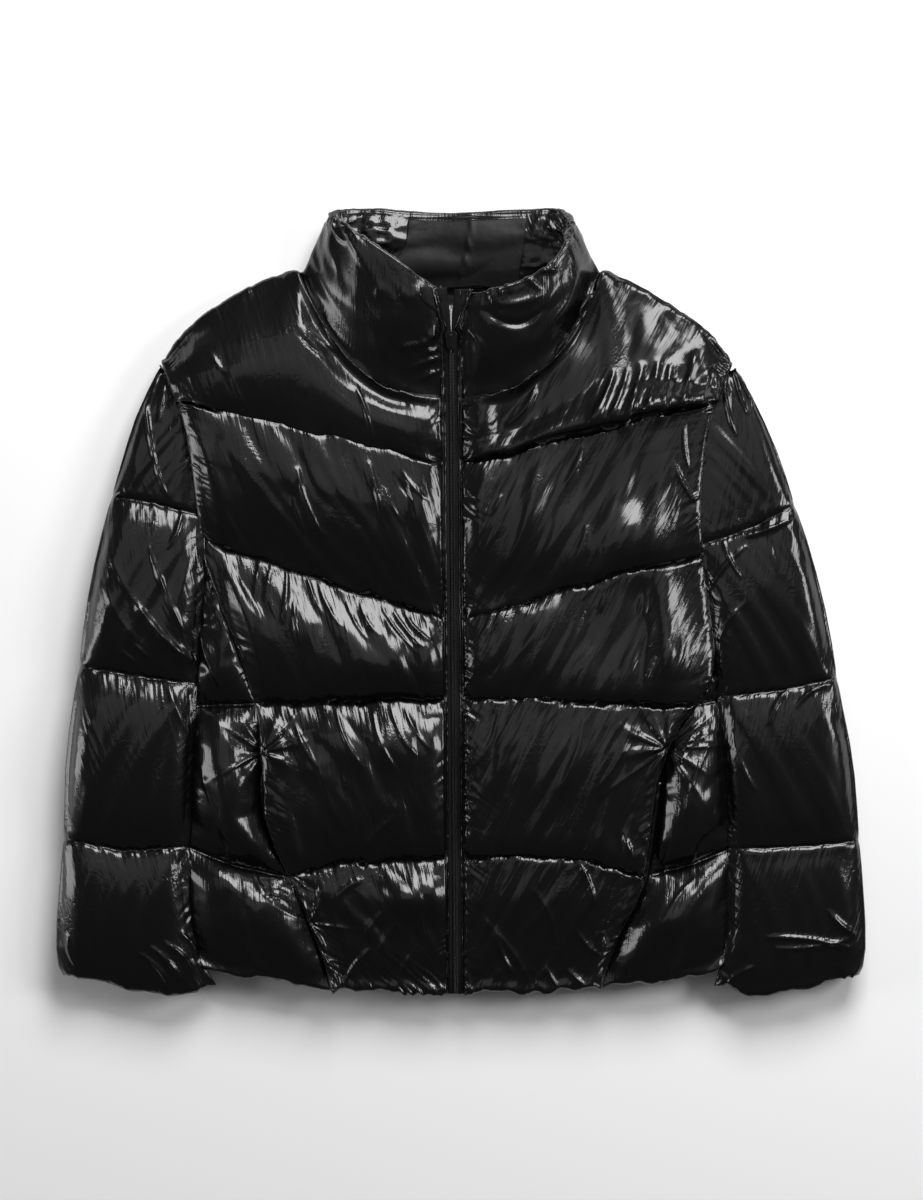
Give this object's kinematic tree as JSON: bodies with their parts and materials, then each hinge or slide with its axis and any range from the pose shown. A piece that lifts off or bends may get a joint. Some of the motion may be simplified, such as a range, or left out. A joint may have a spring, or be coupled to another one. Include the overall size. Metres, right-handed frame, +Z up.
{
  "type": "puffer jacket",
  "caption": "Short quilted puffer jacket with a padded funnel collar, zipped up and laid flat with its sleeves beside it; gathered quilt lines and slit pockets in the side seams.",
  "frame": {"origin": "middle of the jacket's outline on the surface that it lies on", "axes": "+X towards the wearer's left sleeve, +Y from the hem towards the collar, +Z up from the surface through the back and the fronts"},
  "size_m": [0.7268, 0.713, 0.072],
  "materials": {
    "shell": "glossy coated nylon, near black",
    "lining": "plain woven nylon, near black",
    "zip_tape": "matte woven polyester tape",
    "zip_teeth": "moulded nylon coil, satin",
    "slider": "die-cast metal with dark enamel, satin"
  },
  "bodies": {
    "root": {"back": "shell", "front_right": "shell", "front_left": "shell", "side_panel_right": "shell", "side_panel_left": "shell", "pocket_welt_right": "lining", "pocket_welt_left": "lining", "sleeve_right": "shell", "sleeve_left": "shell", "collar": "shell", "collar_facing": "lining", "binding_right": "shell", "binding_left": "shell", "zip_tape_right": "zip_tape", "zip_tape_left": "zip_tape", "zip_chain": "zip_teeth", "zip_slider": "slider"}
  },
  "joints": []
}
